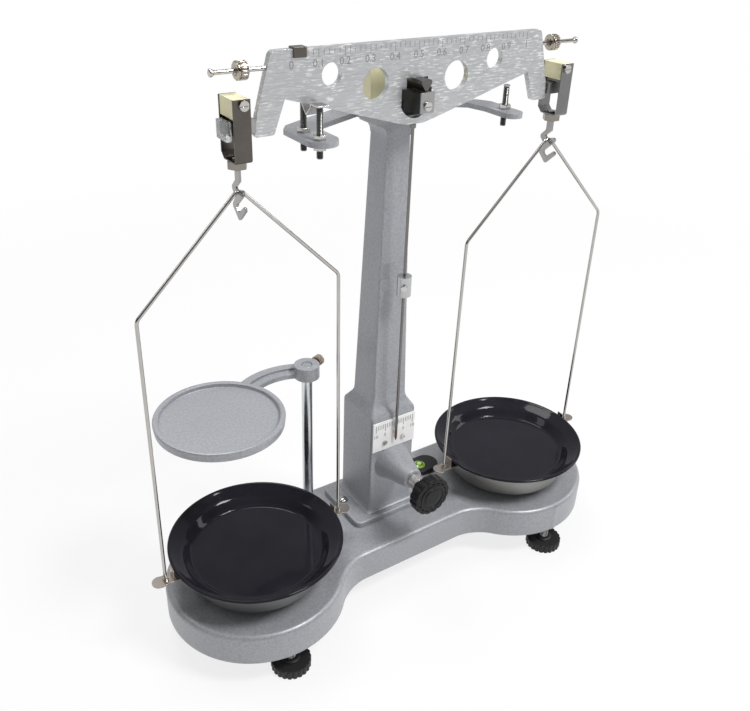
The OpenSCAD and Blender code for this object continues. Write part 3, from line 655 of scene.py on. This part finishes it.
def addPan(side, x, look):
    shape = spun(look["profile"], (x, 0, look["rim"]), steps=128, closed=False)
    addPiece("panShell_" + side, shape, "pan_" + side, replaced=("pan_" + side,), smooth=60)


for side, x in hangerX.items():
    addPan(side, x, panLook)
print("pans are spun")


# Outline with rounded teeth, as (x, y) points
def scalloped(radius, teeth, depth, perTooth=8):
    outline = []
    for step in range(teeth * perTooth):
        wave = abs(math.sin(math.pi * step / perTooth))
        reach = radius - depth + depth * math.sqrt(wave)
        turn = math.tau * step / (teeth * perTooth)
        outline.append((reach * math.cos(turn), reach * math.sin(turn)))
    return outline


footLook = {"radius": 13.8, "teeth": 22, "depth": 1.1, "high": 6.5, "edge": 0.8,
            "places": {"left": (-118, -52.5), "right": (115, -55.5), "rear": (0, 42)},
            "collar": [(0, 6), (6.2, 6), (6.2, 7.2), (5.6, 7.8), (4.4, 8.1), (0, 8.1)],
            "screw": {"radius": 3, "root": 2.55, "low": 7.9, "turns": 30, "pitch": 1, "high": 39.5}}


def addFoot(side, place, look):
    disc = prism(scalloped(look["radius"], look["teeth"], look["depth"]), look["high"])
    roundEdges(disc, look["edge"], 3, 60)
    moveShape(disc, (*place, 0))
    addTo(disc, spun(look["collar"], (*place, 0), closed=False))
    addPiece("footDisc_" + side, disc, "foot_" + side, replaced=("foot_" + side,))
    thread = look["screw"]
    profile = [(0, thread["low"]), (thread["radius"], thread["low"])]
    for turn in range(thread["turns"]):
        crest = thread["low"] + 0.3 + turn * thread["pitch"]
        profile += [(thread["radius"], crest), (thread["root"], crest + thread["pitch"] / 2)]
    profile += [(thread["radius"], thread["high"] - 0.9), (0, thread["high"])]
    screw = spun(profile, (*place, 0), steps=32, closed=False)
    addPiece("footScrew_" + side, screw, "foot_" + side, "steel")


for side, place in footLook["places"].items():
    addFoot(side, place, footLook)

knobLook = {"radius": 14.8, "teeth": 16, "depth": 0.95, "front": -47.5, "back": -39.5,
            "edge": 1.1, "rim": 2.0,
            "cap": [(0, 0), (9.9, 0), (9.9, 0.35), (9.4, 0.55), (8.9, 0.3), (8.6, -0.4), (7.2, -0.4),
                    (6.9, 0.3), (6.4, 0.62), (5.2, 0.68), (0, 0.5)], "capSink": 0.05,
            "neck": [(3.05, 0), (5.6, 0), (6.2, 0.6), (6.2, 3.4), (3.05, 3.6)], "neckBack": -36}


def addKnob(look):
    grip = prism(scalloped(look["radius"], look["teeth"], look["depth"]), look["back"] - look["front"])
    roundEdges(grip, look["edge"], 3, 60)
    face = max(grip.faces, key=lambda f: f.calc_center_median().z)
    bmesh.ops.inset_region(grip, faces=[face], thickness=look["rim"] * mm)
    moveShape(grip, (0, look["back"], shaftHeight), "-Y")
    addPiece("knobGrip", grip, "arrest_knob", replaced=("arrest_knob",))
    cap = spun(look["cap"], (0, look["front"] + look["capSink"], shaftHeight), "-Y", closed=False)
    addPiece("knobCap", cap, "arrest_knob", smooth=50)
    neck = spun(look["neck"], (0, look["neckBack"], shaftHeight), "-Y", steps=48)
    addPiece("knobNeck", neck, "arrest_knob")


addKnob(knobLook)
print("feet and knob are built")


# The end cap is (radius, distance from the end)
rodLook = {"height": 381.8, "radius": 1.2, "start": 86.5, "end": 128, "cap": [
    (1.2, 3.2), (1.35, 2.6), (1.75, 1.9), (2.1, 1.3), (2.2, 0.8), (2.05, 0.3), (1.5, 0), (0, 0)]}


def addRods(look):
    profile = [(0, look["start"]), (look["radius"], look["start"])]
    profile += [(r, look["end"] - back) for r, back in look["cap"]]
    for side, axis in (("left", "-X"), ("right", "X")):
        rod = spun(profile, (0, 0, look["height"]), axis, steps=32, closed=False)
        addPiece("rod_" + side, rod, "adjusting_rods", replaced=("adjusting_rods",) if side == "left" else ())


addRods(rodLook)

# Places are (x, y, bottom, top)
studLook = {"crest": 1.95, "root": 1.62, "core": 1.6, "tip": 1.5, "pitch": 0.75, "lead": 0.3, "places": {
    "front": (-69.5, -9, 333.2, 361.8), "back": (-69.5, 9, 333.2, 361.8), "right": (72, 0, 333.2, 358.0)}}


def addStud(name, spot, look):
    x, y, low, high = spot
    profile = [(0, low), (look["core"], low)]
    for turn in range(int((high - low - 2 * look["lead"]) / look["pitch"])):
        z = low + look["lead"] + turn * look["pitch"]
        profile += [(look["root"], z), (look["crest"], z + look["pitch"] / 2)]
    profile += [(look["core"], high - 0.2), (look["tip"], high), (0, high)]
    stud = spun(profile, (x, y, 0), steps=28, closed=False)
    addPiece("studThread_" + name, stud, "rest_studs", replaced=("rest_studs",) if name == "front" else ())


for studName, spot in studLook["places"].items():
    addStud(studName, spot, studLook)
print("rods and studs are turned")


# Raised text that faces the front
def writing(text, size, place, depth=0.03):
    curve = bpy.data.curves.new("writing", "FONT")
    curve.body = text
    curve.size = size * mm
    curve.align_x = "CENTER"
    curve.align_y = "CENTER"
    curve.extrude = depth * mm
    curve.resolution_u = 3
    holder = bpy.data.objects.new("writing", curve)
    scene.collection.objects.link(holder)
    bpy.context.view_layer.update()
    data = bpy.data.meshes.new_from_object(holder.evaluated_get(bpy.context.evaluated_depsgraph_get()))
    bpy.data.objects.remove(holder)
    bpy.data.curves.remove(curve)
    shape = bmesh.new()
    shape.from_mesh(data)
    bpy.data.meshes.remove(data)
    bmesh.ops.remove_doubles(shape, verts=shape.verts, dist=0.0005 * mm)
    moveShape(shape, place, "-Y")
    return shape


# Ticks hang from one line, every fifth one long
def addTicks(shape, count, middle, look):
    for tick in range(count):
        x = (tick - middle) * look["step"]
        half = look["width"] / 2
        reach = look["long"] if (tick - middle) % 5 == 0 else look["short"]
        addTo(shape, box((x - half, look["front"] - look["proud"], look["top"] - reach),
                         (x + half, look["front"] + look["sunk"], look["top"])))


beamMarks = {"front": -2.0, "proud": 0.03, "sunk": 0.1, "top": 389.6, "step": 3.3, "tenths": 10, "short": 2.9,
             "long": 4.5, "width": 0.36, "numbers": 382.2, "size": 6.0}


# Tenths from 0 to 1 along the beam, five ticks to each
def addBeamMarks(look):
    shape = bmesh.new()
    middle = look["tenths"] * 5 // 2
    addTicks(shape, look["tenths"] * 5 + 1, middle, look)
    for tenth in range(look["tenths"] + 1):
        spot = ((tenth * 5 - middle) * look["step"], look["front"], look["numbers"])
        addTo(shape, writing(f"{tenth / 10:g}", look["size"], spot))
    addPiece("beamMarks", shape, "beam", "engraved", smooth=20, weighted=False)


addBeamMarks(beamMarks)

plateMarks = {"front": 2.2, "proud": 0.03, "sunk": 0.1, "top": 127.4, "step": 1.6, "each": 10, "short": 3.8,
              "long": 6.2, "width": 0.42, "numbers": 118.0, "size": 3.9}


# Ten ticks to each side of 0
def addPlateMarks(look):
    shape = bmesh.new()
    addTicks(shape, 2 * look["each"] + 1, look["each"], look)
    for count in range(-look["each"], look["each"] + 1, 5):
        spot = (count * look["step"], look["front"], look["numbers"])
        addTo(shape, writing(str(abs(count)), look["size"], spot))
    addPiece("plateMarks", shape, "scale_plate", "ink", smooth=20, weighted=False)


addPlateMarks(plateMarks)
print("marks are on the beam and the plate")


# Floor in metres: it turns white for the eye as it leaves the balance, and keeps the shadow near it
floorLook = {"size": 30.0, "colour": (0.88, 0.88, 0.88), "near": 0.80, "reach": (0.45, 1.1)}


def addFloor(look):
    shape = bmesh.new()
    bmesh.ops.create_grid(shape, x_segments=1, y_segments=1, size=look["size"] / 2)
    data = bpy.data.meshes.new("paleFloor")
    shape.to_mesh(data)
    shape.free()
    floor = bpy.data.objects.new("paleFloor", data)
    scene.collection.objects.link(floor)
    f = Finish("paleFloor")
    matt = f.node("ShaderNodeBsdfDiffuse", {}, {"Color": shade(look["colour"])})
    glow = f.node("ShaderNodeEmission", {}, {"Color": (1, 1, 1, 1), "Strength": 1.0})
    start, end = look["reach"]
    white = f.ramp(f.reach((0, 0)), (start, look["near"]), (end, 1))
    paths = f.tree.nodes.new("ShaderNodeLightPath")
    eye, glossy, through = (Wire(f, paths.outputs[k]) for k in
                            ("Is Camera Ray", "Is Glossy Ray", "Is Transmission Ray"))
    seen = eye.orMore(glossy).orMore(through) * white
    mixed = f.node("ShaderNodeMixShader", {}, {0: seen, 1: matt, 2: glow})
    f.node("ShaderNodeOutputMaterial", {}, {"Surface": mixed})
    data.materials.append(f.material)


worldLook = {"toRoom": (-0.57, -0.82, 0.0), "fill": 0.30, "room": 0.07, "ceiling": 0.55, "ceilingFrom": 0.42,
             "ceilingFull": 0.78, "wall": 0.50, "wallFull": 0.36, "wallTo": 0.56}


# White backdrop for the eye; reflections see a pale wall behind, a pale ceiling and a dim room in front
def addWorld(look):
    world = bpy.data.worlds.new("studioWorld")
    scene.world = world
    world.use_nodes = True
    f = Finish("studioWorld", world.node_tree)
    paths = f.tree.nodes.new("ShaderNodeLightPath")
    eye, glossy, through = (Wire(f, paths.outputs[k]) for k in
                            ("Is Camera Ray", "Is Glossy Ray", "Is Transmission Ray"))
    heading = f.node("ShaderNodeTexCoord", out="Generated")
    facing = f.along(heading, look["toRoom"]) * 0.5 + 0.5
    rise = f.along(heading, (0, 0, 1))
    wall = f.ramp(facing, (look["wallFull"], 1), (look["wallTo"], 0)) * look["wall"]
    ceiling = f.ramp(rise, (look["ceilingFrom"], 0), (look["ceilingFull"], 1)) * look["ceiling"]
    seen = wall.orMore(ceiling) + look["room"]
    plain = (1 - glossy) * look["fill"] + glossy * seen
    clear = eye.orMore(through)
    strength = plain * (1 - clear) + clear
    sky = f.node("ShaderNodeBackground", {}, {"Color": (1, 1, 1, 1), "Strength": strength})
    f.node("ShaderNodeOutputWorld", {}, {"Surface": sky})


addFloor(floorLook)
addWorld(worldLook)
print("floor and world are in place")
